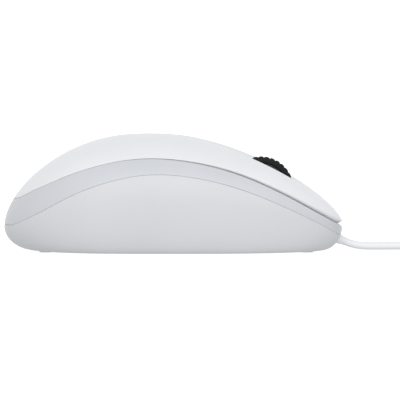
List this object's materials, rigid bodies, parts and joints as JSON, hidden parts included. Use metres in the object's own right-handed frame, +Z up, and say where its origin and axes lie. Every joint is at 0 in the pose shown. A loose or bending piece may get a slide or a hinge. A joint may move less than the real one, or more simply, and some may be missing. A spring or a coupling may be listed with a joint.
{
  "type": "computer mouse",
  "caption": "Wired desktop mouse with a domed top, flexing keys, a ribbed scroll wheel, a curved side band and a tied cord with a plug.",
  "frame": {"origin": "under the middle of the mouse body, at the level of the feet's lower faces", "axes": "+X to the nose, +Y to the left side, +Z up"},
  "size_m": [0.2025, 0.0731, 0.039],
  "materials": {
    "cover": "fine satin white plastic with a soft sheen",
    "band": "pale blue-grey satin plastic",
    "base": "fine matt white plastic",
    "foot": "slippery pale skid pads",
    "label": "blank silver-grey sticker",
    "board": "green solder mask",
    "screw": "bright plated steel",
    "black_part": "moulded black",
    "plunger": "plain white nylon",
    "lens": "clear moulded plastic",
    "led": "clear red epoxy",
    "resonator": "dipped orange ceramic",
    "hub": "moulded grey nylon",
    "tyre": "soft near-black rubber, ribbed",
    "cord": "soft white PVC",
    "wires": "thin coloured insulation",
    "tie": "black hook-and-loop strap",
    "contact": "gold-flashed contacts"
  },
  "bodies": {
    "mouse": {"base_case": "base", "blank_label": "label", "board_screws": "screw", "cable_connector": "plunger", "cable_header": "plunger", "capacitor": "black_part", "case_screw": "screw", "chip_resistors": "black_part", "circuit_board": "board", "coil_tie": "tie", "cord": "cord", "cord_coil": "cord", "cord_inside": "cord", "cord_tail": "cord", "front_foot": "foot", "ir_detector": "black_part", "ir_emitter": "lens", "led_clip": "black_part", "left_switch": "black_part", "middle_frame": "band", "middle_switch": "black_part", "optical_sensor": "black_part", "rear_foot": "foot", "resonator": "resonator", "right_switch": "black_part", "sensor_led": "led", "sensor_lens": "lens", "signal_wires": "wires", "strain_relief": "cord", "switch_terminals": "screw", "top_cover": "cover", "usb_contacts": "contact", "usb_plug_body": "cord", "usb_plug_shell": "screw", "usb_tongue": "plunger"},
    "left_key": {"left_button": "cover"},
    "right_key": {"right_button": "cover"},
    "left_plunger": {"left_switch_plunger": "plunger"},
    "right_plunger": {"right_switch_plunger": "plunger"},
    "middle_plunger": {"middle_switch_plunger": "plunger"},
    "cradle": {"wheel_cradle": "hub", "detent_spring": "screw"},
    "wheel": {"wheel_hub": "hub", "wheel_tyre": "tyre"}
  },
  "joints": [
    {"name": "left_button_press", "type": "hinge", "parent": "mouse", "child": "left_key", "pos_m": [-0.004, 0, 0.0315], "axis": [0, 1, 0], "range_deg": [0, 0.8], "stiffness_Nm_per_rad": 1, "springref_deg": -1.15},
    {"name": "left_switch_press", "type": "slide", "parent": "mouse", "child": "left_plunger", "axis": [0, 0, -1], "range_m": [0, 0.0006]},
    {"name": "right_button_press", "type": "hinge", "parent": "mouse", "child": "right_key", "pos_m": [-0.004, 0, 0.0315], "axis": [0, 1, 0], "range_deg": [0, 0.8], "stiffness_Nm_per_rad": 1, "springref_deg": -1.15},
    {"name": "right_switch_press", "type": "slide", "parent": "mouse", "child": "right_plunger", "axis": [0, 0, -1], "range_m": [0, 0.0006]},
    {"name": "wheel_click", "type": "hinge", "parent": "mouse", "child": "cradle", "pos_m": [0.0125, 0, 0.0145], "axis": [0, 1, 0], "range_deg": [0, 0.9], "stiffness_Nm_per_rad": 1, "springref_deg": -1.15},
    {"name": "middle_switch_press", "type": "slide", "parent": "mouse", "child": "middle_plunger", "axis": [0, 0, -1], "range_m": [0, 0.0005]},
    {"name": "wheel_spin", "type": "hinge", "parent": "cradle", "child": "wheel", "pos_m": [0.0293, 0, 0.02035], "axis": [0, 1, 0], "continuous": true}
  ],
  "couplings": [
    {"joint": "left_switch_press", "follows": "left_button_press", "m_per_rad": 0.042},
    {"joint": "right_switch_press", "follows": "right_button_press", "m_per_rad": 0.042},
    {"joint": "middle_switch_press", "follows": "wheel_click", "m_per_rad": 0.03}
  ]
}
